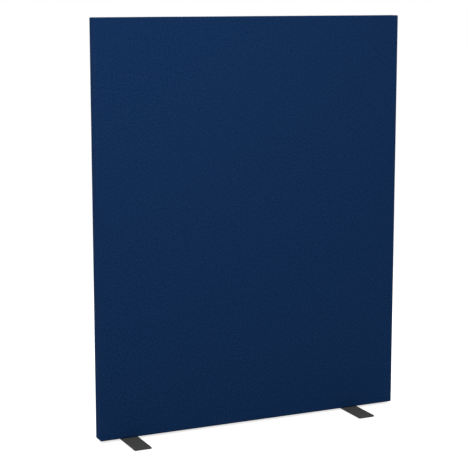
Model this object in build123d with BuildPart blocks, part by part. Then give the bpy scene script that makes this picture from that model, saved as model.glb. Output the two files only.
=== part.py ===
from build123d import *
import math
import os

# Free-standing acoustic divider screen: an upholstered panel bolted to two flat steel feet.
# +X runs along the width, +Y towards the back and +Z up. The origin is on the floor, under
# the middle of the panel. All sizes are in millimetres.

# Overall size, from the floor to the top of the cover
screen_width = 1200.0
screen_height = 1500.0

# Layers of the panel, from the timber frame in the middle to the cover outside
frame_depth = 24.0
board_thickness = 6.0
foam_thickness = 6.0
cover_thickness = 1.0
wadding_thickness = 4.0
cover_inside_arris = 3.0
soft_arris_clearance = 0.4

# Timber frame and its dowels
member_width = 44.0
bottom_rail_height = 70.0
middle_rail_share = 0.5
dowel_diameter = 8.0
dowel_length = 40.0
dowel_end_chamfer = 1.0
dowel_spacing_share = 0.5
slab_clearance = 0.3

# Sewn cover: seam on the middle of the edges, hem folded under the bottom rail
seam_allowance = 8.0
hem_end_width = 22.0
hem_gap_clearance = 1.0

# Staples of flat wire
staple_crown = 10.0
staple_wire_width = 1.2
staple_wire_thickness = 0.6
staple_bite = 6.0
hem_staple_inset = 3.5
hem_staple_spacing = 75.0
board_staple_spacing = 180.0

# Strip that closes the underside, and its tacks
strip_thickness = 1.0
strip_inset = 4.0
strip_corner = 2.0
tack_diameter = 1.6
tack_length = 12.0
tack_head_diameter = 5.0
tack_head_height = 1.0
tacks_between_feet = 5

# Flat steel feet, each as far in from its end of the panel as it stands
foot_width = 64.0
foot_reach = 130.0
foot_thickness = 6.0
foot_corner = 3.0
foot_edge_break = 0.6
left_foot_inset = 112.5
right_foot_inset = 185.0

# Countersunk socket screws through each foot, and their threaded inserts in the bottom rail
screw_diameter = 8.0
screw_length = 30.0
screw_head_diameter = 16.0
screw_head_rim = 0.4
countersink_angle = 90.0
screw_socket_across_flats = 5.0
screw_socket_depth = 2.6
screw_tip_chamfer = 0.8
screw_spacing = 36.0
screw_hole_clearance = 0.3
insert_wall = 2.0
insert_length = 20.0
insert_ridge_spacing = 2.5
insert_ridge_depth = 0.7

# Rubber pads under both ends of each foot
pad_thickness = 1.5
pad_length = 50.0
pad_width = 16.0
pad_inset = 16.0

# Clearances and the overrun of cuts
fit_clearance = 0.1
depth_clearance = 1.0
cut_overrun = 1.0

# Depths worked out from the layers
board_face = frame_depth / 2 + board_thickness
foam_face = board_face + foam_thickness
panel_thickness = 2 * (foam_face + cover_thickness)
cover_outside_arris = cover_inside_arris + cover_thickness
soft_arris = min(cover_inside_arris + soft_arris_clearance, foam_thickness, wadding_thickness)

# Levels worked out from the stack of pieces that stands on the floor
foot_top = pad_thickness + foot_thickness
cover_underside = foot_top + strip_thickness
cover_height = screen_height - cover_underside
frame_underside = cover_underside + cover_thickness
soft_top = screen_height - cover_thickness
frame_top = soft_top - wadding_thickness
frame_height = frame_top - frame_underside

# Places across the width
soft_side = screen_width / 2 - cover_thickness
frame_side = soft_side - wadding_thickness
bay_side = frame_side - member_width
rail_length = 2 * bay_side
bottom_rail_top = frame_underside + bottom_rail_height
top_rail_underside = frame_top - member_width
middle_rail_level = bottom_rail_top + (top_rail_underside - bottom_rail_top) * middle_rail_share
middle_rail_underside = middle_rail_level - member_width / 2
middle_rail_top = middle_rail_level + member_width / 2
top_rail_level = (top_rail_underside + frame_top) / 2
bottom_rail_level = (frame_underside + bottom_rail_top) / 2
rail_levels = (bottom_rail_level, middle_rail_level, top_rail_level)
foot_places = (left_foot_inset - screen_width / 2, screen_width / 2 - right_foot_inset)
foot_length = panel_thickness + 2 * foot_reach

# Sizes of the fits
dowel_radius = dowel_diameter / 2
dowel_hole_radius = dowel_radius + fit_clearance
dowel_hole_depth = dowel_length / 2 + depth_clearance
screw_radius = screw_diameter / 2
insert_radius = screw_radius + insert_wall
hem_gap = screw_diameter + 2 * hem_gap_clearance

FRONT = -1
REAR = 1


def keep(piece, label):
    """Label a finished piece and write it to its own file."""
    piece.label = label
    export_step(piece, f"parts/{label}.step")


def spread(low, high, count):
    """Evenly spaced places from low to high, the first and last half a step in."""
    step = (high - low) / count
    return [low + step * (index + 1 / 2) for index in range(count)]


def spread_by_spacing(low, high, spacing):
    """Evenly spaced places from low to high, about one spacing apart."""
    return spread(low, high, max(1, round((high - low) / spacing)))


def pair(middle, span):
    """The two dowel places of a joint, on either side of its middle."""
    offset = span * dowel_spacing_share / 2
    return (middle - offset, middle + offset)


# Dowel joints: each plane stands on the joint face, its normal along the dowel
rail_joint_levels = (
    pair(bottom_rail_level, bottom_rail_height)
    + pair(middle_rail_level, member_width)
    + pair(top_rail_level, member_width)
)


def side_joints(side, outward, levels):
    """Dowel planes on the rail's end face or the stile's inner face at one side."""
    return [
        Plane(origin=(side * bay_side, 0, level), x_dir=(0, 1, 0), z_dir=(outward, 0, 0))
        for level in levels
    ]


def mullion_joints(level, outward):
    """Dowel planes on the face of a rail, or on the end of a mullion, at a level."""
    return [
        Plane(origin=(place, 0, level), x_dir=(1, 0, 0), z_dir=(0, 0, outward))
        for place in pair(0, member_width)
    ]


def staple(leg, clearance, stand_out):
    """A staple with its crown along X and its legs down, or the slot for one in its place."""
    half_crown = staple_crown / 2 + clearance
    half_gap = staple_crown / 2 - staple_wire_thickness - clearance
    crown_underside = -staple_wire_thickness - clearance
    with BuildPart() as piece:
        with BuildSketch(Plane.XZ):
            with BuildLine():
                Polyline(
                    (-half_crown, stand_out),
                    (half_crown, stand_out),
                    (half_crown, -leg - clearance),
                    (half_gap, -leg - clearance),
                    (half_gap, crown_underside),
                    (-half_gap, crown_underside),
                    (-half_gap, -leg - clearance),
                    (-half_crown, -leg - clearance),
                    close=True,
                )
            make_face()
        extrude(amount=staple_wire_width / 2 + clearance, both=True)
    return piece.part


hem_staple = staple(cover_thickness + staple_bite, 0, 0)
hem_staple_slot = staple(cover_thickness + staple_bite, fit_clearance, cut_overrun)
board_staple = staple(board_thickness + staple_bite, 0, 0)
board_staple_slot = staple(board_thickness + staple_bite, fit_clearance, cut_overrun)


def hem_staple_places(side):
    """Planes of the hem's staples, which are driven upwards into the bottom rail."""
    depth = side * (hem_gap / 2 + hem_staple_inset)
    return [
        Plane(origin=(place, depth, cover_underside), x_dir=(1, 0, 0), z_dir=(0, 0, -1))
        for place in spread_by_spacing(-bay_side, bay_side, hem_staple_spacing)
    ]


def stile_staple_places(side, across):
    """Planes of the board's staples along one stile, with their crowns upright."""
    middle = across * (frame_side - member_width / 2)
    return [
        Plane(origin=(middle, side * board_face, level), x_dir=(0, 0, 1), z_dir=(0, side, 0))
        for level in spread_by_spacing(frame_underside, frame_top, board_staple_spacing)
    ]


def rail_staple_places(side, level):
    """Planes of the board's staples along one rail, with their crowns level."""
    return [
        Plane(origin=(place, side * board_face, level), x_dir=(1, 0, 0), z_dir=(0, side, 0))
        for place in spread_by_spacing(-bay_side, bay_side, board_staple_spacing)
    ]


# Left and right stiles, the full height of the frame
for label, side in (("left_stile", -1), ("right_stile", 1)):
    with BuildPart() as stile:
        with BuildSketch(Plane.XY.offset(frame_underside)):
            with Locations((side * (frame_side - member_width / 2), 0)):
                Rectangle(member_width, frame_depth)
        extrude(amount=frame_height)
        with Locations(*side_joints(side, -side, rail_joint_levels)):
            Hole(radius=dowel_hole_radius, depth=dowel_hole_depth)
        with Locations(*stile_staple_places(FRONT, side), *stile_staple_places(REAR, side)):
            add(board_staple_slot, mode=Mode.SUBTRACT)
    keep(stile.part, label)


def end_dowel_holes(levels):
    """Bore both ends of the rail that is being made."""
    for side in (-1, 1):
        with Locations(*side_joints(side, side, levels)):
            Hole(radius=dowel_hole_radius, depth=dowel_hole_depth)


def rail_staple_slots(level):
    """Cut the board's staple slots in both faces of the rail that is being made."""
    with Locations(*rail_staple_places(FRONT, level), *rail_staple_places(REAR, level)):
        add(board_staple_slot, mode=Mode.SUBTRACT)


# Top rail, bored below for the upper mullion
with BuildPart() as top_rail:
    with BuildSketch(Plane.XY.offset(top_rail_underside)):
        Rectangle(rail_length, frame_depth)
    extrude(amount=member_width)
    end_dowel_holes(pair(top_rail_level, member_width))
    with Locations(*mullion_joints(top_rail_underside, -1)):
        Hole(radius=dowel_hole_radius, depth=dowel_hole_depth)
    rail_staple_slots(top_rail_level)
keep(top_rail.part, "top_rail")

# Middle rail, bored above and below for both mullions
with BuildPart() as middle_rail:
    with BuildSketch(Plane.XY.offset(middle_rail_underside)):
        Rectangle(rail_length, frame_depth)
    extrude(amount=member_width)
    end_dowel_holes(pair(middle_rail_level, member_width))
    with Locations(*mullion_joints(middle_rail_top, 1), *mullion_joints(middle_rail_underside, -1)):
        Hole(radius=dowel_hole_radius, depth=dowel_hole_depth)
    rail_staple_slots(middle_rail_level)
keep(middle_rail.part, "middle_rail")

# Places of the screws through the feet, and of the tacks between and outside the feet
left_place, right_place = foot_places
half_foot = foot_width / 2
half_spacing = screw_spacing / 2
screw_places = [place + offset for place in foot_places for offset in (-half_spacing, half_spacing)]
tack_places = (
    spread(-bay_side, left_place - half_foot, 1)
    + spread(left_place + half_foot, right_place - half_foot, tacks_between_feet)
    + spread(right_place + half_foot, bay_side, 1)
)
insert_hole_depth = pad_thickness + screw_length - frame_underside + depth_clearance
tack_hole_depth = foot_top + tack_length - frame_underside + depth_clearance

# Bottom rail, deeper than the others because it holds the feet's inserts
with BuildPart() as bottom_rail:
    with BuildSketch(Plane.XY.offset(frame_underside)):
        Rectangle(rail_length, frame_depth)
    extrude(amount=bottom_rail_height)
    end_dowel_holes(pair(bottom_rail_level, bottom_rail_height))
    with Locations(*mullion_joints(bottom_rail_top, 1)):
        Hole(radius=dowel_hole_radius, depth=dowel_hole_depth)
    with BuildSketch(Plane.XY.offset(frame_underside)):
        with Locations(*[(place, 0) for place in screw_places]):
            Circle(insert_radius + fit_clearance)
    extrude(amount=insert_hole_depth, mode=Mode.SUBTRACT)
    with BuildSketch(Plane.XY.offset(frame_underside)):
        with Locations(*[(place, 0) for place in tack_places]):
            Circle(tack_diameter / 2 + fit_clearance)
    extrude(amount=tack_hole_depth, mode=Mode.SUBTRACT)
    rail_staple_slots(bottom_rail_level)
    with Locations(*hem_staple_places(FRONT), *hem_staple_places(REAR)):
        add(hem_staple_slot, mode=Mode.SUBTRACT)
keep(bottom_rail.part, "bottom_rail")

# Mullions between the rails, on the middle line
for label, low, high in (
    ("lower_mullion", bottom_rail_top, middle_rail_underside),
    ("upper_mullion", middle_rail_top, top_rail_underside),
):
    with BuildPart() as mullion:
        with BuildSketch(Plane.XY.offset(low)):
            Rectangle(member_width, frame_depth)
        extrude(amount=high - low)
        with Locations(*mullion_joints(low, -1), *mullion_joints(high, 1)):
            Hole(radius=dowel_hole_radius, depth=dowel_hole_depth)
    keep(mullion.part, label)

# Beech dowels, half in each of the two timbers that they join
with BuildPart() as dowel:
    Cylinder(radius=dowel_radius, height=dowel_length)
    chamfer(dowel.edges().filter_by(GeomType.CIRCLE), length=dowel_end_chamfer)

dowel_planes = side_joints(-1, 1, rail_joint_levels) + side_joints(1, 1, rail_joint_levels)
dowel_planes += mullion_joints(bottom_rail_top, 1) + mullion_joints(top_rail_underside, 1)
dowel_planes += mullion_joints(middle_rail_underside, 1) + mullion_joints(middle_rail_top, 1)
with BuildPart() as frame_dowels:
    with Locations(*dowel_planes):
        add(dowel.part)
keep(frame_dowels.part, "frame_dowels")

# Mineral-wool slabs, one in each bay
bay_width = bay_side - member_width / 2
for row, low, high in (
    ("lower", bottom_rail_top, middle_rail_underside),
    ("upper", middle_rail_top, top_rail_underside),
):
    for column, side in (("left", -1), ("right", 1)):
        with BuildPart() as slab:
            with BuildSketch(Plane.XY.offset(low + slab_clearance)):
                with Locations((side * (member_width / 2 + bay_width / 2), 0)):
                    Rectangle(bay_width - 2 * slab_clearance, frame_depth)
            extrude(amount=high - low - 2 * slab_clearance)
        keep(slab.part, f"{row}_{column}_slab")

# Boards, foam sheets, covers and board staples: the front and the rear have the same set
for name, side in (("front", FRONT), ("rear", REAR)):
    staple_places = stile_staple_places(side, -1) + stile_staple_places(side, 1)
    for level in rail_levels:
        staple_places += rail_staple_places(side, level)

    with BuildPart() as board:
        with BuildSketch(Plane.XY.offset(frame_underside)):
            with Locations((0, side * (frame_depth + board_thickness) / 2)):
                Rectangle(2 * frame_side, board_thickness)
        extrude(amount=frame_height)
        with Locations(*staple_places):
            add(board_staple_slot, mode=Mode.SUBTRACT)
    keep(board.part, f"{name}_board")

    with BuildPart() as board_staples:
        with Locations(*staple_places):
            add(board_staple)
    keep(board_staples.part, f"{name}_board_staples")

    with BuildPart() as foam:
        with BuildSketch(Plane.XY.offset(frame_underside)):
            with Locations((0, side * (board_face + foam_thickness / 2))):
                Rectangle(2 * soft_side, foam_thickness)
        extrude(amount=soft_top - frame_underside)
        outer_face = foam.faces().filter_by(Axis.Y).sort_by(Axis.Y)[0 if side == FRONT else -1]
        fillet(foam.edges().filter_by(Axis.Y) + outer_face.edges(), radius=soft_arris)
    keep(foam.part, f"{name}_foam")

# Strips of wadding on the frame's edges, grooved for the cover's seam allowances
wadding_width = 2 * board_face
seam_groove_width = 2 * (seam_allowance + fit_clearance)
seam_groove_depth = cover_thickness + fit_clearance

for label, side in (("left_edge_wadding", -1), ("right_edge_wadding", 1)):
    with BuildPart() as wadding:
        with BuildSketch(Plane.XY.offset(frame_underside)):
            with Locations((side * (frame_side + wadding_thickness / 2), 0)):
                Rectangle(wadding_thickness, wadding_width)
        extrude(amount=frame_height)
        low_edges = wadding.edges().filter_by(Axis.Y).group_by(Axis.Z)[0]
        fillet(low_edges.sort_by(Axis.X)[0 if side < 0 else -1], radius=soft_arris)
        with BuildSketch(Plane.XY.offset(frame_underside)):
            with Locations((side * (soft_side - seam_groove_depth / 2), 0)):
                Rectangle(seam_groove_depth, seam_groove_width)
        extrude(amount=frame_height, mode=Mode.SUBTRACT)
    keep(wadding.part, label)

with BuildPart() as top_edge_wadding:
    with BuildSketch(Plane.XZ):
        with Locations((0, (frame_top + soft_top) / 2)):
            Rectangle(2 * soft_side, wadding_thickness)
    extrude(amount=wadding_width / 2, both=True)
    fillet(top_edge_wadding.edges().filter_by(Axis.Y).group_by(Axis.Z)[-1], radius=soft_arris)
    with BuildSketch(Plane.XZ):
        with Locations((0, soft_top - seam_groove_depth / 2)):
            Rectangle(2 * (soft_side + cut_overrun), seam_groove_depth)
    extrude(amount=seam_groove_width / 2, both=True, mode=Mode.SUBTRACT)
keep(top_edge_wadding.part, "top_edge_wadding")

# Inside of the cover: the space of all the layers that it is pulled over
with BuildPart() as cover_inside:
    with BuildSketch(Plane.XY.offset(frame_underside)):
        Rectangle(2 * soft_side, 2 * foam_face)
    extrude(amount=soft_top - frame_underside)
    fillet(cover_inside.edges(), radius=cover_inside_arris)

seam_run_low = frame_underside + cover_inside_arris
seam_run_high = min(frame_top, soft_top - cover_inside_arris)
seam_run_side = soft_side - cover_inside_arris

for name, side in (("front", FRONT), ("rear", REAR)):
    with BuildPart() as cover:
        with BuildSketch(Plane.XY.offset(cover_underside)):
            Rectangle(screen_width, panel_thickness)
        extrude(amount=cover_height)
        fillet(cover.edges(), radius=cover_outside_arris)
        add(cover_inside.part, mode=Mode.SUBTRACT)
        # seam allowances pressed flat inside both edges and the top, notched at the corners
        with BuildSketch(Plane.XY.offset(seam_run_low)):
            with GridLocations(2 * soft_side - cover_thickness, 0, 2, 1):
                Rectangle(cover_thickness, 2 * seam_allowance)
        extrude(amount=seam_run_high - seam_run_low)
        with BuildSketch(Plane.XY.offset(soft_top - cover_thickness)):
            Rectangle(2 * seam_run_side, 2 * seam_allowance)
        extrude(amount=cover_thickness)
        # open underside between the hems
        with BuildSketch(Plane.XY.offset(cover_underside - cut_overrun)):
            Rectangle(screen_width - 2 * hem_end_width, hem_gap)
        extrude(amount=cover_thickness + 2 * cut_overrun, mode=Mode.SUBTRACT)
        split(bisect_by=Plane.XZ, keep=Keep.TOP if side == FRONT else Keep.BOTTOM)
        with Locations(*hem_staple_places(side)):
            add(hem_staple_slot, mode=Mode.SUBTRACT)
    keep(cover.part, f"{name}_cover")

with BuildPart() as hem_staples:
    with Locations(*hem_staple_places(FRONT), *hem_staple_places(REAR)):
        add(hem_staple)
keep(hem_staples.part, "hem_staples")

# Black strip over the hems, clamped by the feet and tacked between them
strip_length = screen_width - 2 * strip_inset
strip_width = panel_thickness - 2 * strip_inset
with BuildPart() as base_strip:
    with BuildSketch(Plane.XY.offset(foot_top)):
        RectangleRounded(strip_length, strip_width, strip_corner)
        with Locations(*[(place, 0) for place in screw_places]):
            Circle(screw_radius + screw_hole_clearance, mode=Mode.SUBTRACT)
        with Locations(*[(place, 0) for place in tack_places]):
            Circle(tack_diameter / 2 + fit_clearance, mode=Mode.SUBTRACT)
    extrude(amount=strip_thickness)
keep(base_strip.part, "base_strip")

# Tacks with low domed heads below the strip
with BuildPart() as tack:
    with BuildSketch(Plane.XZ):
        with BuildLine():
            head_edge = Line((tack_head_diameter / 2, 0), (tack_diameter / 2, 0))
            Line(head_edge @ 1, (tack_diameter / 2, tack_length - tack_diameter))
            Line((tack_diameter / 2, tack_length - tack_diameter), (0, tack_length))
            Line((0, tack_length), (0, -tack_head_height))
            TangentArc((0, -tack_head_height), head_edge @ 0, tangent=(1, 0))
        make_face()
    revolve(axis=Axis.Z)

with BuildPart() as strip_tacks:
    with Locations(*[(place, 0, foot_top) for place in tack_places]):
        add(tack.part)
keep(strip_tacks.part, "strip_tacks")

# Feet: flat steel with broken edges, countersunk from below
head_radius = screw_head_diameter / 2
sink_radius = head_radius + screw_head_rim + fit_clearance
for label, foot_place in zip(("left_foot", "right_foot"), foot_places):
    with BuildPart() as foot:
        with BuildSketch(Plane.XY.offset(pad_thickness)):
            with Locations((foot_place, 0)):
                RectangleRounded(foot_width, foot_length, foot_corner)
        extrude(amount=foot_thickness)
        chamfer(foot.faces().filter_by(Axis.Z).edges(), length=foot_edge_break)
        underside = Plane(origin=(foot_place, 0, pad_thickness), x_dir=(1, 0, 0), z_dir=(0, 0, -1))
        with Locations(underside):
            with GridLocations(screw_spacing, 0, 2, 1):
                CounterSinkHole(
                    radius=screw_radius + screw_hole_clearance,
                    counter_sink_radius=sink_radius,
                    depth=foot_thickness,
                    counter_sink_angle=countersink_angle,
                )
    keep(foot.part, label)

# Countersunk socket screws, driven from below
head_cone_height = (head_radius - screw_radius) / math.tan(math.radians(countersink_angle / 2))
with BuildPart() as screw:
    with BuildSketch(Plane.XZ):
        with BuildLine():
            Polyline(
                (0, 0),
                (head_radius, 0),
                (head_radius, screw_head_rim),
                (screw_radius, screw_head_rim + head_cone_height),
                (screw_radius, screw_length - screw_tip_chamfer),
                (screw_radius - screw_tip_chamfer, screw_length),
                (0, screw_length),
                close=True,
            )
        make_face()
    revolve(axis=Axis.Z)
    with BuildSketch(Plane.XY):
        RegularPolygon(screw_socket_across_flats / 2, 6, major_radius=False)
    extrude(amount=screw_socket_depth, mode=Mode.SUBTRACT)

with BuildPart() as foot_screws:
    with Locations(*[(place, 0, pad_thickness) for place in screw_places]):
        add(screw.part)
keep(foot_screws.part, "foot_screws")

# Threaded inserts, flush with the underside of the bottom rail, ridged where they grip the timber
ridge_count = max(1, int(insert_length / insert_ridge_spacing))
ridge_pitch = insert_length / ridge_count
ridge_root = insert_radius - insert_ridge_depth
bore_radius = screw_radius + fit_clearance
ridge_points = [(ridge_root, 0)]
for ridge in range(ridge_count):
    ridge_points += [
        (insert_radius, ridge_pitch * (ridge + 1 / 2)),
        (ridge_root, ridge_pitch * (ridge + 1)),
    ]

with BuildPart() as insert:
    with BuildSketch(Plane.XZ):
        with BuildLine():
            Polyline(*ridge_points, (bore_radius, insert_length), (bore_radius, 0), close=True)
        make_face()
    revolve(axis=Axis.Z)

with BuildPart() as threaded_inserts:
    with Locations(*[(place, 0, frame_underside) for place in screw_places]):
        add(insert.part)
keep(threaded_inserts.part, "threaded_inserts")

# Rubber pads, one under each end of each foot
pad_reach = foot_length / 2 - pad_inset
with BuildPart() as foot_pads:
    with BuildSketch(Plane.XY):
        with Locations(*[(place, side * pad_reach) for place in foot_places for side in (FRONT, REAR)]):
            SlotOverall(pad_length, pad_width)
    extrude(amount=pad_thickness)
keep(foot_pads.part, "foot_pads")
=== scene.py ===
import math

import bpy
import numpy as np
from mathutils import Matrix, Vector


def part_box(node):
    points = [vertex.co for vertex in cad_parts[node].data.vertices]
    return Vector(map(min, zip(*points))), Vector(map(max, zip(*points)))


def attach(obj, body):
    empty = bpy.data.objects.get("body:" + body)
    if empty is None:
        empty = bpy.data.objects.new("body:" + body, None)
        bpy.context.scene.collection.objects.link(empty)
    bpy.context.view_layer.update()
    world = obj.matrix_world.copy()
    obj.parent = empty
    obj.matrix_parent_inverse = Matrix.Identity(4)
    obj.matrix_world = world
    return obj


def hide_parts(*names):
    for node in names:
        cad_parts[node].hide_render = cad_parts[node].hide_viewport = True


# The acoustic divider screen: a taut blue cloth cover with a seam along the middle of its side
# and top edges, over foam and a timber frame, on two flat powder-coated steel feet.
# Lengths are in metres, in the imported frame: +X along the width, +Y to the rear, +Z up.

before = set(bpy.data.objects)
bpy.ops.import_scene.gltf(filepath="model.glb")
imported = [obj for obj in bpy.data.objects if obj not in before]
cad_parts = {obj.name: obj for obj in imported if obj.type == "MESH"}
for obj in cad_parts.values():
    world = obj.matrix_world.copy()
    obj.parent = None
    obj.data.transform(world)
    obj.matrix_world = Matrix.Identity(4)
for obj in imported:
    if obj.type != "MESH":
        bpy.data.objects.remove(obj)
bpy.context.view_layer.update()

MM = 0.001
FRONT = -1
REAR = 1
# creases up to this angle are drawn smooth
smoothed_angle = math.radians(50)

# Outside of the panel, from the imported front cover
cover_low, cover_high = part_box("front_cover")
panel_side = cover_high.x
panel_top = cover_high.z
panel_underside = cover_low.z
panel_face = -cover_low.y

# The cover's cloth and how it is sewn
arris_radius = 4 * MM
cloth_thickness = 0.9 * MM
fold_radius = 0.95 * MM
seam_allowance = 8 * MM
seam_draw_in = 0.2 * MM
seam_draw_width = 2.5 * MM
pucker_depth = 0.16 * MM
pucker_length = 46 * MM
pucker_seed = 7
edge_unevenness = 0.2 * MM
edge_unevenness_length = 240 * MM
edge_unevenness_seed = 17
dart_depth = 0.45 * MM
dart_half_angle = math.radians(9)
hem_gap = 10 * MM
hem_end_width = 22 * MM
rear_half_on_roll = 1.4

# The working sheet that gives both faces their crown; its mass is in kilograms a point
crown_height = 0.8 * MM
sheet_step = 30 * MM
sheet_point_mass = 0.0003
sheet_stiffness = 25
foam_pressure = 0.2
gravity_share = 0.2
settling_frames = 20

# How finely the cover is drawn: the face's step and the places along each run and curve
mesh_step = 10 * MM
arris_places = 9
run_places = 6
fold_places = 9
corner_places = 13

# The plane waves that make cloth and padding uneven, their lengths as shares of the usual one
wave_count = 8
shortest_wave = 0.7
longest_wave = 1.35

# Soft layers under the cloth
soft_arris = 3.4 * MM
soft_arris_places = 5
place_decimals = 9
cloth_clearance = 0.35 * MM
layer_step = 25 * MM
layer_unevenness_length = 60 * MM
foam_unevenness = 0.1 * MM
wadding_unevenness = 0.2 * MM
slab_unevenness = 0.8 * MM
seam_groove_half_width = 8.1 * MM
seam_groove_depth = 1.2 * MM
groove_wall = 0.1 * MM


def even_steps(low, high, step):
    """Places from low to high, about one step apart, both ends among them."""
    return np.linspace(low, high, max(2, round((high - low) / step) + 1))


def unevenness(points, length, seed):
    """A smooth height from 0 to 1 at each point: a half and the mean of some plane sine waves.

    Each wave runs in its own seeded direction, its length near the one given."""
    random = np.random.default_rng(seed)
    directions = random.normal(size=(wave_count, points.shape[1]))
    directions /= np.linalg.norm(directions, axis=1, keepdims=True)
    wave_lengths = length * random.uniform(shortest_wave, longest_wave, wave_count)
    phases = random.uniform(0, 2 * math.pi, wave_count)
    angles = points @ (directions * (2 * math.pi / wave_lengths)[:, None]).T + phases
    return np.clip(0.5 + np.sin(angles).mean(axis=1), 0, 1)


def grid_cells(columns, rows):
    """The corner indices of each cell of a grid whose points run along the columns first."""
    index = np.arange(columns * rows).reshape(rows, columns)
    cells = (index[:-1, :-1], index[:-1, 1:], index[1:, 1:], index[1:, :-1])
    return np.stack(cells, axis=2).reshape(-1, 4)


def make_piece(name, points, faces, material, node):
    """A finished piece of points and faces that rides on the screen and stands for a node."""
    mesh = bpy.data.meshes.new(name)
    mesh.from_pydata(points.tolist(), [], faces)
    mesh.materials.append(material)
    mesh.shade_smooth()
    mesh.set_sharp_from_angle(angle=smoothed_angle)
    piece = bpy.data.objects.new(name, mesh)
    bpy.context.scene.collection.objects.link(piece)
    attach(piece, "root")
    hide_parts(node)
    return piece


# Materials

def linear(code):
    """An sRGB hex colour as linear red, green, blue and full alpha."""
    values = [int(code[place:place + 2], 16) / 255 for place in (1, 3, 5)]
    return [v / 12.92 if v <= 0.04045 else ((v + 0.055) / 1.055) ** 2.4 for v in values] + [1.0]


def per_size(size_mm):
    """The noise or cell scale that gives features of this size in millimetres."""
    return 1 / (size_mm * MM)


def per_wave(spacing_mm):
    """The wave scale that puts bands this many millimetres apart, 20 radians to the unit."""
    return 2 * math.pi / (20 * spacing_mm * MM)


def fill(tree, node, inputs):
    """Fills inputs of a node by name or number.

    Another node gives its first live output, a socket is linked, and a value is set."""
    for name, value in inputs.items():
        live = [entry for entry in node.inputs if entry.enabled and entry.name == name]
        socket = live[0] if live else node.inputs[name]
        if isinstance(value, bpy.types.Node):
            value = next(entry for entry in value.outputs if entry.enabled)
        if isinstance(value, bpy.types.NodeSocket):
            tree.links.new(value, socket)
        else:
            socket.default_value = value


def add(tree, kind, inputs=None, stops=(), **settings):
    """Adds a node with its settings, its inputs and the colour stops of a ramp."""
    node = tree.nodes.new(kind)
    for name, value in settings.items():
        setattr(node, name, value)
    for number, (place, code) in enumerate(stops):
        ramp = node.color_ramp.elements
        stop = ramp[number] if number < 2 else ramp.new(place)
        stop.position = place
        stop.color = linear(code)
    fill(tree, node, inputs or {})
    return node


def new_finish(name, **sockets):
    """A material with one shader, whose sockets are named with underscores for spaces."""
    material = bpy.data.materials.new(name)
    material.use_nodes = True
    tree = material.node_tree
    shader = tree.nodes["Principled BSDF"]
    fill(tree, shader, {socket.replace("_", " "): value for socket, value in sockets.items()})
    return material, tree, shader


def woven_crepe_cloth():
    """Wool and polyester crepe, woven with broken floats and piece-dyed.

    The eye gets a matt navy with a fine pebble and no lines, slightly mottled, because the
    two fibres take the dye unevenly."""
    material, tree, shader = new_finish(
        "woven_crepe_cloth", Roughness=0.95, Specular_IOR_Level=0.02, Sheen_Weight=0.02,
        Sheen_Roughness=0.6, Sheen_Tint=linear("#1F4A94"))
    cloth = add(tree, "ShaderNodeUVMap", uv_map="flat_cut")
    # threads 0.5 mm apart, drawn at 0.9 mm so that a close view shows them
    threads = {"Vector": cloth, "Scale": per_wave(0.9), "Distortion": 1.6, "Detail Scale": 0.6}
    warp = add(tree, "ShaderNodeTexWave", threads, bands_direction="X").outputs["Fac"]
    weft = add(tree, "ShaderNodeTexWave", threads, bands_direction="Y").outputs["Fac"]
    # where the weft floats over the warp, in broken patches
    patches = add(tree, "ShaderNodeTexNoise", {"Vector": cloth, "Scale": per_size(1.7), "Detail": 1.0})
    floats = add(tree, "ShaderNodeMapRange", {"Value": patches, "From Min": 0.44, "From Max": 0.56})
    weave = add(tree, "ShaderNodeMix", {"Factor": floats, "A": warp, "B": weft})
    # the mottling is 2 mm wide on the cloth, drawn at 6 mm so that the whole view shows it
    mottling = add(tree, "ShaderNodeTexNoise",
                   {"Vector": cloth, "Scale": per_size(6.0), "Detail": 3.0, "Roughness": 0.75})
    dyed = add(tree, "ShaderNodeValToRGB", {"Fac": mottling},
               stops=((0.33, "#092143"), (0.67, "#17335A")))
    # single paler fibres, 1.3 mm long
    fibres = add(tree, "ShaderNodeTexNoise", {"Vector": cloth, "Scale": per_size(1.3), "Detail": 2.0})
    flecks = add(tree, "ShaderNodeMapRange",
                 {"Value": fibres, "From Min": 0.58, "From Max": 0.72, "To Max": 0.35})
    flecked = add(tree, "ShaderNodeMix", {"Factor": flecks, "A": dyed, "B": linear("#2B4A74")},
                  data_type="RGBA")
    # painted shade: where the weave lies low, its colour is darkened towards a deep navy
    weave_hollow_shade = add(tree, "ShaderNodeMapRange",
                  {"Value": weave, "From Max": 0.5, "To Min": 0.35, "To Max": 0.0})
    shaded = add(tree, "ShaderNodeMix", {"Factor": weave_hollow_shade, "A": flecked, "B": linear("#0A1B36")},
                 data_type="RGBA")
    relief = add(tree, "ShaderNodeBump", {"Height": weave, "Distance": 0.18 * MM, "Strength": 0.7})
    fill(tree, shader, {"Base Color": shaded, "Normal": relief})
    return material


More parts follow.
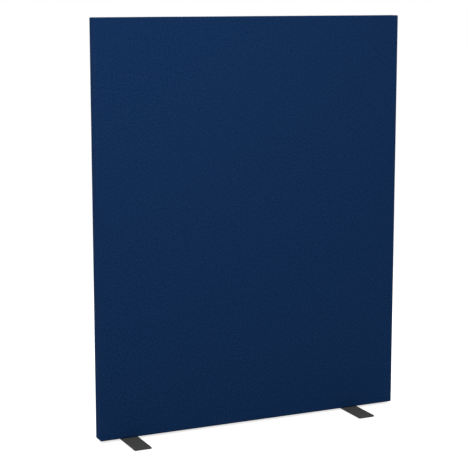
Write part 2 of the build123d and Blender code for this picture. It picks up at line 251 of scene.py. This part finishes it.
def powder_coated_steel():
    """Steel plate, cut, its arrises ground off, and powder-coated in a fine dark grey texture.

    The eye gets an even matt grey with the small bumps of the melted powder, and faint scuffs
    where shoes have brushed it."""
    material, tree, shader = new_finish("powder_coated_steel", Specular_IOR_Level=0.2)
    place = add(tree, "ShaderNodeTexCoord").outputs["Object"]
    # bumps 0.8 mm apart, drawn at 1.6 mm
    grain = add(tree, "ShaderNodeTexNoise",
                {"Vector": place, "Scale": per_size(1.6), "Detail": 3.0, "Roughness": 0.6})
    coat = add(tree, "ShaderNodeValToRGB", {"Fac": grain}, stops=((0.35, "#3A3A39"), (0.65, "#41413F")))
    rubbing = add(tree, "ShaderNodeTexNoise",
                  {"Vector": place, "Scale": per_size(35.0), "Detail": 5.0, "Roughness": 0.65})
    scuffs = add(tree, "ShaderNodeMapRange",
                 {"Value": rubbing, "From Min": 0.6, "From Max": 0.75, "To Max": 0.1})
    scuffed = add(tree, "ShaderNodeMix", {"Factor": scuffs, "A": coat, "B": linear("#56554F")},
                  data_type="RGBA")
    gloss = add(tree, "ShaderNodeMapRange",
                {"Value": grain, "From Min": 0.3, "From Max": 0.7, "To Min": 0.62, "To Max": 0.8})
    relief = add(tree, "ShaderNodeBump", {"Height": grain, "Distance": 0.12 * MM, "Strength": 0.6})
    fill(tree, shader, {"Base Color": scuffed, "Roughness": gloss, "Normal": relief})
    return material


def blackened_screw_steel():
    """Hardened steel, forged and blackened in a hot bath, then oiled.

    The eye gets a dark satin metal, rubbed a little lighter where the tools touch it."""
    material, tree, shader = new_finish("blackened_screw_steel", Metallic=1.0)
    place = add(tree, "ShaderNodeTexCoord").outputs["Object"]
    rubbing = add(tree, "ShaderNodeTexNoise",
                  {"Vector": place, "Scale": per_size(2.5), "Detail": 4.0, "Roughness": 0.7})
    colour = add(tree, "ShaderNodeValToRGB", {"Fac": rubbing},
                 stops=((0.5, "#1D1D1F"), (0.75, "#3A3A3C")))
    gloss = add(tree, "ShaderNodeMapRange",
                {"Value": rubbing, "From Min": 0.3, "From Max": 0.7, "To Min": 0.5, "To Max": 0.32})
    fill(tree, shader, {"Base Color": colour, "Roughness": gloss})
    return material


def moulded_rubber():
    """Black rubber, moulded in a grained tool.

    The eye gets a dull black with a soft grain and a little dust grey."""
    material, tree, shader = new_finish(
        "moulded_rubber", IOR=1.52, Roughness=0.85, Specular_IOR_Level=0.3)
    place = add(tree, "ShaderNodeTexCoord").outputs["Object"]
    dust = add(tree, "ShaderNodeTexNoise", {"Vector": place, "Scale": per_size(14.0), "Detail": 3.0})
    colour = add(tree, "ShaderNodeValToRGB", {"Fac": dust}, stops=((0.45, "#101010"), (0.8, "#242322")))
    grain = add(tree, "ShaderNodeTexNoise", {"Vector": place, "Scale": per_size(1.2), "Detail": 2.0})
    relief = add(tree, "ShaderNodeBump", {"Height": grain, "Distance": 0.1 * MM, "Strength": 0.6})
    fill(tree, shader, {"Base Color": colour, "Normal": relief})
    return material


def extruded_vinyl_strip():
    """Soft PVC, extruded as a flat strip, with the die's faint lines along it.

    The eye gets an even satin black, a little streaky along its length."""
    material, tree, shader = new_finish("extruded_vinyl_strip", IOR=1.54, Specular_IOR_Level=0.4)
    place = add(tree, "ShaderNodeTexCoord").outputs["Object"]
    scuffs = add(tree, "ShaderNodeTexNoise",
                 {"Vector": place, "Scale": per_size(9.0), "Detail": 4.0, "Roughness": 0.7})
    colour = add(tree, "ShaderNodeValToRGB", {"Fac": scuffs}, stops=((0.4, "#0D0D0E"), (0.8, "#1E1E20")))
    # die lines 0.7 mm apart, drawn at 1.5 mm
    along = add(tree, "ShaderNodeMapping", {"Vector": place, "Scale": (0.02, 1, 1)})
    lines = add(tree, "ShaderNodeTexNoise", {"Vector": along, "Scale": per_size(1.5), "Detail": 2.0})
    gloss = add(tree, "ShaderNodeMapRange",
                {"Value": lines, "From Min": 0.3, "From Max": 0.7, "To Min": 0.42, "To Max": 0.62})
    relief = add(tree, "ShaderNodeBump", {"Height": lines, "Distance": 0.08 * MM, "Strength": 0.5})
    fill(tree, shader, {"Base Color": colour, "Roughness": gloss, "Normal": relief})
    return material


def heat_blued_steel():
    """Steel wire, headed into tacks and blued by heat.

    The eye gets a dark blue-grey metal with straw and violet patches."""
    material, tree, shader = new_finish("heat_blued_steel", Metallic=1.0, Roughness=0.38)
    place = add(tree, "ShaderNodeTexCoord").outputs["Object"]
    heat = add(tree, "ShaderNodeTexNoise", {"Vector": place, "Scale": per_size(3.0), "Detail": 2.0})
    colour = add(tree, "ShaderNodeValToRGB", {"Fac": heat},
                 stops=((0.35, "#2B3142"), (0.6, "#3D4354"), (0.75, "#54494A")))
    fill(tree, shader, {"Base Color": colour})
    return material


def zinc_coated_steel(name, light, dark):
    """Steel wire or turned steel, coated with zinc.

    The eye gets a pale satin metal with a faint crystal mottle."""
    material, tree, shader = new_finish(name, Metallic=1.0)
    place = add(tree, "ShaderNodeTexCoord").outputs["Object"]
    crystals = add(tree, "ShaderNodeTexVoronoi", {"Vector": place, "Scale": per_size(2.0)})
    shade = add(tree, "ShaderNodeSeparateColor", {"Color": crystals.outputs["Color"]})
    colour = add(tree, "ShaderNodeValToRGB", {"Fac": shade}, stops=((0.0, dark), (1.0, light)))
    gloss = add(tree, "ShaderNodeMapRange", {"Value": shade, "To Min": 0.28, "To Max": 0.45})
    fill(tree, shader, {"Base Color": colour, "Roughness": gloss})
    return material


def planed_wood(name, along, pale, dark, ring_mm):
    """Wood, kiln-dried and planed or turned, its grain along the piece.

    The eye gets pale early wood with darker late-wood lines and fine pores."""
    material, tree, shader = new_finish(name, IOR=1.46, Roughness=0.65, Specular_IOR_Level=0.25)
    place = add(tree, "ShaderNodeTexCoord").outputs["Object"]
    stretch = [0.06 if axis == along else 1.0 for axis in "XYZ"]
    grain = add(tree, "ShaderNodeMapping", {"Vector": place, "Scale": stretch})
    rings = {"Vector": grain, "Scale": per_wave(ring_mm), "Distortion": 9.0, "Detail Scale": 0.5}
    lines = add(tree, "ShaderNodeTexWave", rings, bands_direction="DIAGONAL").outputs["Fac"]
    late = add(tree, "ShaderNodeMapRange", {"Value": lines, "From Min": 0.5, "To Max": 0.8})
    ringed = add(tree, "ShaderNodeMix", {"Factor": late, "A": linear(pale), "B": linear(dark)},
                 data_type="RGBA")
    pores = add(tree, "ShaderNodeTexNoise", {"Vector": grain, "Scale": per_size(0.8), "Detail": 2.0})
    open_pores = add(tree, "ShaderNodeMapRange",
                     {"Value": pores, "From Min": 0.6, "From Max": 0.75, "To Max": 0.3})
    colour = add(tree, "ShaderNodeMix", {"Factor": open_pores, "A": ringed, "B": linear("#7A5532")},
                 data_type="RGBA")
    relief = add(tree, "ShaderNodeBump", {"Height": pores, "Distance": 0.1 * MM, "Strength": 0.5})
    fill(tree, shader, {"Base Color": colour, "Normal": relief})
    return material


def pressed_fibreboard():
    """Wood fibres, felted wet and pressed into a soft board.

    The eye gets a matt mid brown with short lighter and darker fibres that lie both ways."""
    material, tree, shader = new_finish("pressed_fibreboard", Roughness=0.95, Specular_IOR_Level=0.1)
    place = add(tree, "ShaderNodeTexCoord").outputs["Object"]
    across, upright = (
        add(tree, "ShaderNodeTexNoise",
            {"Vector": add(tree, "ShaderNodeMapping", {"Vector": place, "Scale": stretch}),
             "Scale": per_size(1.2), "Detail": 3.0, "Roughness": 0.7})
        for stretch in ((0.2, 1, 1), (1, 1, 0.2)))
    felt = add(tree, "ShaderNodeMix", {"Factor": 0.5, "A": across, "B": upright})
    colour = add(tree, "ShaderNodeValToRGB", {"Fac": felt}, stops=((0.35, "#7E6342"), (0.65, "#B0906A")))
    relief = add(tree, "ShaderNodeBump", {"Height": felt, "Distance": 0.3 * MM, "Strength": 0.8})
    fill(tree, shader, {"Base Color": colour, "Normal": relief})
    return material


def bonded_mineral_wool():
    """Spun rock fibres, laid flat and bonded into a slab.

    The eye gets a dull olive yellow, layered across its thickness and full of lint."""
    material, tree, shader = new_finish("bonded_mineral_wool", Roughness=1.0, Specular_IOR_Level=0.05)
    place = add(tree, "ShaderNodeTexCoord").outputs["Object"]
    layers = add(tree, "ShaderNodeMapping", {"Vector": place, "Scale": (0.3, 2.0, 0.3)})
    lint = add(tree, "ShaderNodeTexNoise",
               {"Vector": layers, "Scale": per_size(2.0), "Detail": 4.0, "Roughness": 0.75})
    wool = add(tree, "ShaderNodeValToRGB", {"Fac": lint}, stops=((0.35, "#A1945A"), (0.65, "#C4B97D")))
    clumps = add(tree, "ShaderNodeTexNoise", {"Vector": place, "Scale": per_size(22.0), "Detail": 3.0})
    dense = add(tree, "ShaderNodeMapRange",
                {"Value": clumps, "From Min": 0.5, "From Max": 0.8, "To Max": 0.3})
    colour = add(tree, "ShaderNodeMix", {"Factor": dense, "A": wool, "B": linear("#8F8350")},
                 data_type="RGBA")
    relief = add(tree, "ShaderNodeBump", {"Height": lint, "Distance": 0.8 * MM, "Strength": 0.9})
    fill(tree, shader, {"Base Color": colour, "Normal": relief})
    return material


def cut_polyurethane_foam():
    """Open-celled polyurethane foam, cut from the block into sheets.

    The eye gets a charcoal grey with tiny open cells, darkened in their hollows with painted shade."""
    material, tree, shader = new_finish("cut_polyurethane_foam", Roughness=1.0, Specular_IOR_Level=0.1)
    place = add(tree, "ShaderNodeTexCoord").outputs["Object"]
    # cells 0.6 mm wide, drawn at 1.2 mm
    cells = add(tree, "ShaderNodeTexVoronoi", {"Vector": place, "Scale": per_size(1.2)})
    cell_walls_and_hollow_shade = add(tree, "ShaderNodeMapRange", {"Value": cells, "From Min": 0.1, "From Max": 0.6})
    # painted shade: each open cell is darker towards its middle and lighter at its walls, which also
    # give the relief
    colour = add(tree, "ShaderNodeValToRGB", {"Fac": cell_walls_and_hollow_shade}, stops=((0.0, "#26272A"), (1.0, "#55575C")))
    relief = add(tree, "ShaderNodeBump", {"Height": cell_walls_and_hollow_shade, "Distance": 0.4 * MM, "Strength": 0.8})
    fill(tree, shader, {"Base Color": colour, "Normal": relief})
    return material


def carded_polyester_wadding():
    """Polyester fibres, carded into a fleece and bonded.

    The eye gets a soft white, cloudy where the fibres lie thinner."""
    material, tree, shader = new_finish(
        "carded_polyester_wadding", Roughness=1.0, Specular_IOR_Level=0.05, Sheen_Weight=0.2)
    place = add(tree, "ShaderNodeTexCoord").outputs["Object"]
    fibres = add(tree, "ShaderNodeTexNoise",
                 {"Vector": place, "Scale": per_size(1.5), "Detail": 5.0, "Roughness": 0.75})
    fleece = add(tree, "ShaderNodeValToRGB", {"Fac": fibres},
                 stops=((0.35, "#D4D4CE"), (0.65, "#F2F2EE")))
    clouds = add(tree, "ShaderNodeTexNoise", {"Vector": place, "Scale": per_size(18.0), "Detail": 3.0})
    thin = add(tree, "ShaderNodeMapRange",
               {"Value": clouds, "From Min": 0.4, "From Max": 0.8, "To Max": 0.5})
    colour = add(tree, "ShaderNodeMix", {"Factor": thin, "A": fleece, "B": linear("#C6C6C0")},
                 data_type="RGBA")
    relief = add(tree, "ShaderNodeBump", {"Height": fibres, "Distance": 0.5 * MM, "Strength": 0.8})
    fill(tree, shader, {"Base Color": colour, "Normal": relief})
    return material


# The stretch of both faces

def held_cloth_bulge(x_places, z_places):
    """How far each point of a working sheet moves out when it is stretched over the foam.

    The sheet is held along its four arrises, pressed out by the foam behind it and pulled
    down by its own weight, and it is given some frames to settle."""
    across, up = np.meshgrid(x_places, z_places)
    flat = np.stack([across.ravel(), np.zeros(across.size), up.ravel()], axis=1)
    mesh = bpy.data.meshes.new("working_sheet")
    mesh.from_pydata(flat.tolist(), [], grid_cells(len(x_places), len(z_places)).tolist())
    sheet = bpy.data.objects.new("working_sheet", mesh)
    bpy.context.scene.collection.objects.link(sheet)
    at_side = np.isin(flat[:, 0], x_places[[0, -1]])
    at_end = np.isin(flat[:, 2], z_places[[0, -1]])
    held = sheet.vertex_groups.new(name="held_at_arris")
    held.add(np.flatnonzero(at_side | at_end).tolist(), 1.0, "REPLACE")
    cloth = sheet.modifiers.new("stretched_cloth", "CLOTH").settings
    cloth.vertex_group_mass = held.name
    cloth.mass = sheet_point_mass
    cloth.tension_stiffness = sheet_stiffness
    cloth.compression_stiffness = sheet_stiffness
    cloth.use_pressure = True
    cloth.uniform_pressure_force = foam_pressure
    cloth.effector_weights.gravity = gravity_share
    for step in range(1, settling_frames + 1):
        bpy.context.scene.frame_set(step)
    settled = sheet.evaluated_get(bpy.context.evaluated_depsgraph_get()).data
    moved = np.empty(flat.size, np.float32)
    settled.vertices.foreach_get("co", moved)
    bpy.data.objects.remove(sheet)
    bpy.data.meshes.remove(mesh)
    bpy.context.scene.frame_set(1)
    return np.abs(moved.reshape(-1, 3)[:, 1]).reshape(across.shape)


face_side = panel_side - arris_radius
face_underside = panel_underside + arris_radius
face_top = panel_top - arris_radius
sheet_x = even_steps(-face_side, face_side, sheet_step)
sheet_z = even_steps(face_underside, face_top, sheet_step)
bulge = held_cloth_bulge(sheet_x, sheet_z)
bulge *= crown_height / bulge.max()


def crown(x, z):
    """How far a face stands out at places x and z: the bulge between its four nearest points.

    The bulge has the crown's height at its highest and nothing along the arrises."""
    column = np.clip((x - sheet_x[0]) / (sheet_x[1] - sheet_x[0]), 0, len(sheet_x) - 1)
    row = np.clip((z - sheet_z[0]) / (sheet_z[1] - sheet_z[0]), 0, len(sheet_z) - 1)
    left = np.minimum(column.astype(int), len(sheet_x) - 2)
    low = np.minimum(row.astype(int), len(sheet_z) - 2)
    share = column - left
    lower = bulge[low, left] * (1 - share) + bulge[low, left + 1] * share
    upper = bulge[low + 1, left] * (1 - share) + bulge[low + 1, left + 1] * share
    return lower + (upper - lower) * (row - low)


# The cover

def edge_profile():
    """The cloth's outer side from the face's edge over the panel's edge and back inside.

    Each row is the inset from the panel's outline and the depth out from the seam's plane:
    a quarter circle round the arris, a run to the seam that is drawn in beside it, a half
    circle where the cloth is folded in, and the seam allowance lying back. Also gives the row
    at the hem's edge."""
    turn = np.linspace(0, math.pi / 2, arris_places)
    arris = np.stack([arris_radius * (1 - np.sin(turn)),
                      panel_face - arris_radius * (1 - np.cos(turn))], axis=1)
    outer_depths = np.linspace(panel_face - arris_radius, hem_gap / 2, run_places)[1:]
    seam_depths = np.geomspace(hem_gap / 2, fold_radius, run_places)[1:]
    depths = np.concatenate([outer_depths, seam_depths])
    draw_in = seam_draw_in * np.exp((fold_radius - depths) / seam_draw_width)
    run = np.stack([draw_in, depths], axis=1)
    turn = np.linspace(0, math.pi, fold_places)[1:]
    fold = np.stack([seam_draw_in + fold_radius * (1 - np.cos(turn)),
                     fold_radius * (1 - np.sin(turn))], axis=1)
    flap_inset = seam_draw_in + 2 * fold_radius
    flap = np.array([[flap_inset, seam_allowance / 2], [flap_inset, seam_allowance]])
    return np.concatenate([arris, run, fold, flap]), len(arris) + len(outer_depths) - 1


def panel_outline(grid):
    """The outline round a face, clockwise from its bottom left as seen from the front.

    Each place has the grid's point that it starts from and its outward direction in x and z,
    which turns by a quarter circle at each corner."""
    turn = np.linspace(0, math.pi / 2, corner_places)[1:-1]
    starts, angles = [], []
    runs = (grid[:, 0], grid[-1, :], grid[::-1, -1], grid[0, ::-1])
    for quarter, run in enumerate(runs):
        facing = math.pi - quarter * math.pi / 2
        starts += [run, np.full(len(turn), run[-1])]
        angles += [np.full(len(run), facing), facing - turn]
    angles = np.concatenate(angles)
    return np.concatenate(starts), np.stack([np.cos(angles), np.sin(angles)], axis=1)


def edge_points(profile, corner, outward, side):
    """The points of the cloth over the panel's edges, one row of the profile after another.

    A point is its place on the face's edge, moved out along the outline's direction by the
    arris radius less the inset. Puckers beside the seam, the padding's unevenness, and a dart
    at the middle of both top corners draw it in further. Towards the underside, where the
    cloth lies flat on the timber, they and the seam's own draw-in fade away."""
    inset, depth = profile[:, 0], profile[:, 1]
    outline = corner + outward * arris_radius
    pucker = unevenness(outline, pucker_length, pucker_seed + side) * pucker_depth
    padding = (unevenness(outline, edge_unevenness_length, edge_unevenness_seed + side)
               * edge_unevenness)
    tilt = np.arcsin(np.clip(outward[:, 1], -1, 1))
    dart = np.exp(-((tilt - math.pi / 4) / dart_half_angle) ** 2) * dart_depth
    beside_seam = np.clip(1 - depth / (panel_face - arris_radius), 0, 1) ** 2
    past_arris = np.clip(1 - inset / arris_radius, 0, 1) ** 2
    soft = np.clip(1 + outward[:, 1], 0, 1)
    seam_pull = np.where(beside_seam > 0, np.minimum(inset, seam_draw_in), 0)
    drawn_in = (np.outer(soft * pucker, beside_seam) + np.outer(soft * padding + dart, past_arris)
                - np.outer(1 - soft, seam_pull))
    points = np.empty((len(corner), len(depth), 3))
    points[:, :, [0, 2]] = outline[:, None] - outward[:, None] * (inset + drawn_in)[:, :, None]
    points[:, :, 1] = side * depth
    return points


def edge_flat_cut(profile, corner, outward):
    """Where the points over the edges lie in the flat cut, as side edges and as end edges.

    A point goes past the face's edge by its length along the profile, and round a corner it
    slides along by the arris radius times the angle turned."""
    steps = np.linalg.norm(np.diff(profile, axis=0), axis=1)
    length = np.concatenate([[0], np.cumsum(steps)])
    away = np.sign(corner - [0, (face_underside + face_top) / 2])
    slid = corner + away * np.arcsin(np.clip(np.abs(outward), 0, 1)) * arris_radius
    past = corner[:, None] + away[:, None] * length[:, None]
    as_side, as_end = past.copy(), past.copy()
    as_side[:, :, 1] = slid[:, 1:]
    as_end[:, :, 0] = slid[:, :1]
    return as_side, as_end, length


def closed_strip(values):
    """The values at the four corners of each cell of a strip that closes on itself."""
    after = np.roll(values, -1, axis=0)
    return np.stack([values[:, :-1], after[:, :-1], after[:, 1:], values[:, 1:]], axis=2)


def cover_cloth(side, name, node, material):
    """One half of the cover, as a single sheet: its face, its edges and its hem.

    The face is a grid of x and z. Round it the edge profile is carried along the panel's
    outline. At the bottom the cloth ends at the hem, and only beside the corners does it
    reach the middle. The flat cut goes into a map of its own: the face keeps its x and z, and
    each edge is laid out beyond the face, slit at the middle of each corner. The rear half
    is cut beside the front one on the roll, so its x runs the other way."""
    profile, hem_row = edge_profile()
    hem_end = panel_side - hem_end_width
    x = even_steps(-face_side, face_side, mesh_step)
    # the columns nearest to the hem's ends move onto them
    x[np.abs(x + hem_end).argmin()] = -hem_end
    x[np.abs(x - hem_end).argmin()] = hem_end
    z = even_steps(face_underside, face_top, mesh_step)
    across, up = np.meshgrid(x, z)
    face = np.stack([across, side * (panel_face + crown(across, up)), up], axis=2).reshape(-1, 3)
    face_cells = grid_cells(len(x), len(z))

    starts, outward = panel_outline(np.arange(len(face)).reshape(across.shape))
    corner = face[starts][:, [0, 2]]
    edges = edge_points(profile[1:], corner, outward, side)
    points = np.concatenate([face, edges.reshape(-1, 3)])
    edge_index = len(face) + np.arange(edges.shape[0] * edges.shape[1]).reshape(edges.shape[:2])
    edge_cells = closed_strip(np.concatenate([starts[:, None], edge_index], axis=1))
    as_side, as_end, length = edge_flat_cut(profile, corner, outward)
    middle = np.abs(outward + np.roll(outward, -1, axis=0))
    of_side = (middle[:, 0] > middle[:, 1])[:, None, None, None]
    edge_map = np.where(of_side, closed_strip(as_side), closed_strip(as_end))

    # the hem leaves the middle of the underside open, and beside it the cloth ends where the
    # two halves meet. A corner's first cells are triangles
    underside = np.isclose(outward[:, 1], -1)
    opening = underside & (np.abs(corner[:, 0]) <= hem_end)
    seam_row = profile[:, 1].argmin()
    kept = np.ones(edge_cells.shape[:2], bool)
    kept[underside & np.roll(underside, -1), seam_row:] = False
    kept[opening & np.roll(opening, -1), hem_row:] = False
    fanned = kept & (edge_cells[:, :, 0] == edge_cells[:, :, 1])
    square = kept & ~fanned
    turn = 1 if side == FRONT else -1
    quads = np.concatenate([face_cells, edge_cells[square]])[:, ::turn]
    quad_map = np.concatenate([face[face_cells][:, :, [0, 2]], edge_map[square]])[:, ::turn]
    triangles = edge_cells[fanned][:, [0, 2, 3]][:, ::turn]
    triangle_map = edge_map[fanned][:, [0, 2, 3]][:, ::turn]

    used = np.unique(np.concatenate([triangles.ravel(), quads.ravel()]))
    renumbered = np.zeros(len(points), int)
    renumbered[used] = np.arange(len(used))
    faces = renumbered[quads].tolist() + renumbered[triangles].tolist()
    piece = make_piece(name, points[used], faces, material, node)
    flat_cut = np.concatenate([quad_map.reshape(-1, 2), triangle_map.reshape(-1, 2)])
    if side == REAR:
        flat_cut[:, 0] = rear_half_on_roll - flat_cut[:, 0]
    piece.data.uv_layers.new(name="flat_cut").uv.foreach_set("vector", flat_cut.ravel())
    thickness = piece.modifiers.new("cloth_thickness", "SOLIDIFY")
    thickness.thickness = cloth_thickness
    thickness.offset = -1


# The soft layers inside

def arris_steps(low, core_low, core_high, high):
    """Places from low to high, close together where an arris is rounded towards the core.

    There they are the radius times one less the tangent of even angles, so that the arris
    gets even facets. Places that fall together become one."""
    near = 1 - np.tan(np.linspace(math.pi / 4, 0, soft_arris_places))
    start = low + (core_low - low) * near
    end = high - (high - core_high) * near
    middle = even_steps(core_low, core_high, layer_step)
    return np.unique(np.round(np.concatenate([start, middle, end]), place_decimals))


def closed_box(steps):
    """The points and cells of a box, from the places along its three axes.

    Each side is a grid at the first or last place of one axis over the places of the other
    two, with its cells facing out, and points that sides share become one."""
    points, cells = [], []
    for axis in range(3):
        first, second = (axis + 1) % 3, (axis + 2) % 3
        for end, turn in ((0, -1), (-1, 1)):
            side = np.empty((len(steps[second]), len(steps[first]), 3))
            side[:, :, axis] = steps[axis][end]
            side[:, :, first], side[:, :, second] = np.meshgrid(steps[first], steps[second])
            side_cells = grid_cells(len(steps[first]), len(steps[second]))[:, ::turn]
            cells.append(side_cells + sum(len(done) for done in points))
            points.append(side.reshape(-1, 3))
    points, shared = np.unique(np.concatenate(points), axis=0, return_inverse=True)
    return points, shared.ravel()[np.concatenate(cells)]


def soft_layer(name, node, material, outsides, uneven_depth, seed, grooved=False):
    """A soft sheet, strip or slab in its packed box, with rounded arrises on its outsides.

    A point of the box near a rounded arris is drawn to the core, whose outsides lie one
    radius in, until it is one radius from it. Seeded unevenness then draws all points towards
    the middle of the thickness. From nothing at the inner side to all at the outer one, a
    grooved strip gives way to the cover's seam, and a sheet on a face swells into its crown."""
    low, high = (np.array(corner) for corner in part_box(node))
    thin = (high - low).argmin()
    radius = min(soft_arris, high[thin] - low[thin])
    out_low = np.array([f"-{axis}" in outsides for axis in "xyz"])
    out_high = np.array([f"+{axis}" in outsides for axis in "xyz"])
    # the cloth is drawn in round the panel's outline only, so only there is it given room
    round_outline = np.array([1, 0, 1])
    low += out_low * round_outline * cloth_clearance
    high -= out_high * round_outline * cloth_clearance
    core_low, core_high = low + radius * out_low, high - radius * out_high
    steps = [arris_steps(*places) for places in zip(low, core_low, core_high, high)]
    if grooved:
        cell_walls_and_hollow_shade = seam_groove_half_width + np.array([0, groove_wall])
        steps[1] = np.sort(np.concatenate([steps[1], cell_walls_and_hollow_shade, -cell_walls_and_hollow_shade]))
    points, cells = closed_box(steps)

    core = np.clip(points, core_low, core_high)
    offset = points - core
    distance = np.linalg.norm(offset, axis=1, keepdims=True)
    shaped = core + offset * np.minimum(1, radius / np.maximum(distance, radius))
    middle = (low[thin] + high[thin]) / 2
    sunk = unevenness(shaped, layer_unevenness_length, seed) * uneven_depth
    shaped[:, thin] -= np.sign(shaped[:, thin] - middle) * sunk
    way_out, inner = (-1, high[thin]) if out_low[thin] else (1, low[thin])
    share = np.abs(points[:, thin] - inner) / (high[thin] - low[thin])
    if grooved:
        under_seam = np.abs(points[:, 1]) < seam_groove_half_width + groove_wall / 2
        shaped[:, thin] -= way_out * share * under_seam * seam_groove_depth
    elif outsides:
        shaped[:, thin] += way_out * share * crown(points[:, 0], points[:, 2])
    piece = make_piece(name, shaped, cells.tolist(), material, node)
    return piece


wadding_finish = carded_polyester_wadding()
wadding_strips = [
    soft_layer(f"{place}_wadding_strip", f"{place}_edge_wadding", wadding_finish,
               outsides, wadding_unevenness, seed, grooved=True)
    for seed, place, outsides in (
        (31, "left", ("-x", "-z")), (32, "right", ("+x", "-z")), (33, "top", ("-x", "+x", "+z")))]
foam_finish = cut_polyurethane_foam()
cloth_finish = woven_crepe_cloth()
for seed, side, place, face_out in ((41, FRONT, "front", "-y"), (42, REAR, "rear", "+y")):
    foam = soft_layer(f"{place}_foam_sheet", f"{place}_foam", foam_finish,
                      ("-x", "+x", "-z", "+z", face_out), foam_unevenness, seed)
    cover_cloth(side, f"{place}_cover_cloth", f"{place}_cover", cloth_finish)
wool_finish = bonded_mineral_wool()
for seed, place in ((51, "upper_left"), (52, "upper_right"), (53, "lower_left"), (54, "lower_right")):
    soft_layer(f"{place}_slab_of_wool", f"{place}_slab", wool_finish,
               (), slab_unevenness, seed)

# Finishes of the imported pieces
finishes = {
    planed_wood("planed_pine_standing", "Z", "#DDC08F", "#B98C54", 4.0): (
        "left_stile", "right_stile", "upper_mullion", "lower_mullion"),
    planed_wood("planed_pine_lying", "X", "#DDC08F", "#B98C54", 4.0): (
        "top_rail", "middle_rail", "bottom_rail"),
    planed_wood("turned_beech", "X", "#CFA67B", "#B98A60", 1.5): ("frame_dowels",),
    pressed_fibreboard(): ("front_board", "rear_board"),
    zinc_coated_steel("galvanised_wire", "#C9CACC", "#9FA1A5"): (
        "front_board_staples", "rear_board_staples", "hem_staples"),
    zinc_coated_steel("zinc_plated_steel", "#CBC8B8", "#A9A594"): ("threaded_inserts",),
    extruded_vinyl_strip(): ("base_strip",),
    heat_blued_steel(): ("strip_tacks",),
    powder_coated_steel(): ("left_foot", "right_foot"),
    blackened_screw_steel(): ("foot_screws",),
    moulded_rubber(): ("foot_pads",),
}
for finish, node_names in finishes.items():
    for node_name in node_names:
        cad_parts[node_name].material_slots[0].material = finish

# Stage: a pale floor, an even white room and four soft lamps
floor_size = 60.0
floor_drop = 0.2 * MM
floor_brightening = 0.72
room_strength = 0.6
face_lamp_size = (3.2, 0.9)
face_lamp_power = 57.0
edge_lamp_size = (0.9, 0.9)
edge_lamp_power = 15.0
lamp_aim = (0.0, 0.0, 1.1)
# each face's lamp stands a little to the left as one looks at the face
front_lamp_place = (-0.9, -2.0, 2.5)
rear_lamp_place = (0.9, 2.0, 2.5)
left_lamp_place = (-2.4, 0.0, 2.2)
right_lamp_place = (2.4, 0.0, 2.2)


def seen_by_eye(tree):
    """1 for rays from the camera and for those that gloss or glass sends on, else 0."""
    rays = add(tree, "ShaderNodeLightPath").outputs
    straight = add(tree, "ShaderNodeMath", {0: rays["Is Camera Ray"], 1: rays["Is Glossy Ray"]},
                   operation="MAXIMUM")
    return add(tree, "ShaderNodeMath", {0: straight, 1: rays["Is Transmission Ray"]},
               operation="MAXIMUM")


def pale_floor():
    """A large matt floor, brightened to white for the eye alone, so that only shadows show."""
    half = floor_size / 2
    corners = [(-half, -half, -floor_drop), (half, -half, -floor_drop),
               (half, half, -floor_drop), (-half, half, -floor_drop)]
    mesh = bpy.data.meshes.new("floor")
    mesh.from_pydata(corners, [], [(0, 1, 2, 3)])
    material, tree, shader = new_finish(
        "pale_floor", Base_Color=linear("#BCBCBC"), Roughness=1.0, Specular_IOR_Level=0.0,
        Emission_Color=linear("#FFFFFF"))
    brightened = add(tree, "ShaderNodeMath", {0: seen_by_eye(tree), 1: floor_brightening},
                     operation="MULTIPLY")
    fill(tree, shader, {"Emission Strength": brightened})
    mesh.materials.append(material)
    floor = bpy.data.objects.new("floor", mesh)
    bpy.context.scene.collection.objects.link(floor)


def white_room():
    """Even light from all round, at full white only for the eye."""
    world = bpy.data.worlds.new("white_room")
    world.use_nodes = True
    tree = world.node_tree
    strength = add(tree, "ShaderNodeMapRange", {"Value": seen_by_eye(tree), "To Min": room_strength})
    fill(tree, tree.nodes["Background"], {"Color": linear("#FFFFFF"), "Strength": strength})
    bpy.context.scene.world = world


def soft_lamp(name, place, size, power):
    """A soft box at a place round the screen, its width level, aimed at the upper half."""
    data = bpy.data.lights.new(name, "AREA")
    data.shape = "RECTANGLE"
    data.size, data.size_y = size
    data.energy = power
    lamp = bpy.data.objects.new(name, data)
    lamp.visible_camera = False
    aim = np.array(lamp_aim) - place
    tilt = math.atan2(math.hypot(aim[0], aim[1]), -aim[2])
    turn = math.atan2(-aim[0], aim[1])
    lamp.location = place
    lamp.rotation_euler = (tilt, 0, turn)
    bpy.context.scene.collection.objects.link(lamp)


pale_floor()
white_room()
soft_lamp("front_lamp", front_lamp_place, face_lamp_size, face_lamp_power)
soft_lamp("rear_lamp", rear_lamp_place, face_lamp_size, face_lamp_power)
soft_lamp("left_lamp", left_lamp_place, edge_lamp_size, edge_lamp_power)
soft_lamp("right_lamp", right_lamp_place, edge_lamp_size, edge_lamp_power)

# Camera, fitted to the panel's edges in the photograph
camera_place = (-2.207, -4.599, 1.581)
camera_turn = math.radians(24.97)
camera_tilt = math.radians(9.31)
sensor_width_mm = 36.0
lens_mm = 108.62
shift_down_share = 0.02

camera_data = bpy.data.cameras.new("camera")
camera_data.sensor_width = sensor_width_mm
camera_data.lens = lens_mm
camera_data.shift_y = -shift_down_share
camera = bpy.data.objects.new("camera", camera_data)
camera.location = camera_place
camera.rotation_euler = (math.pi / 2 - camera_tilt, 0, -camera_turn)
bpy.context.scene.collection.objects.link(camera)
bpy.context.scene.camera = camera
bpy.context.scene.view_settings.view_transform = "Standard"

bpy.context.view_layer.update()
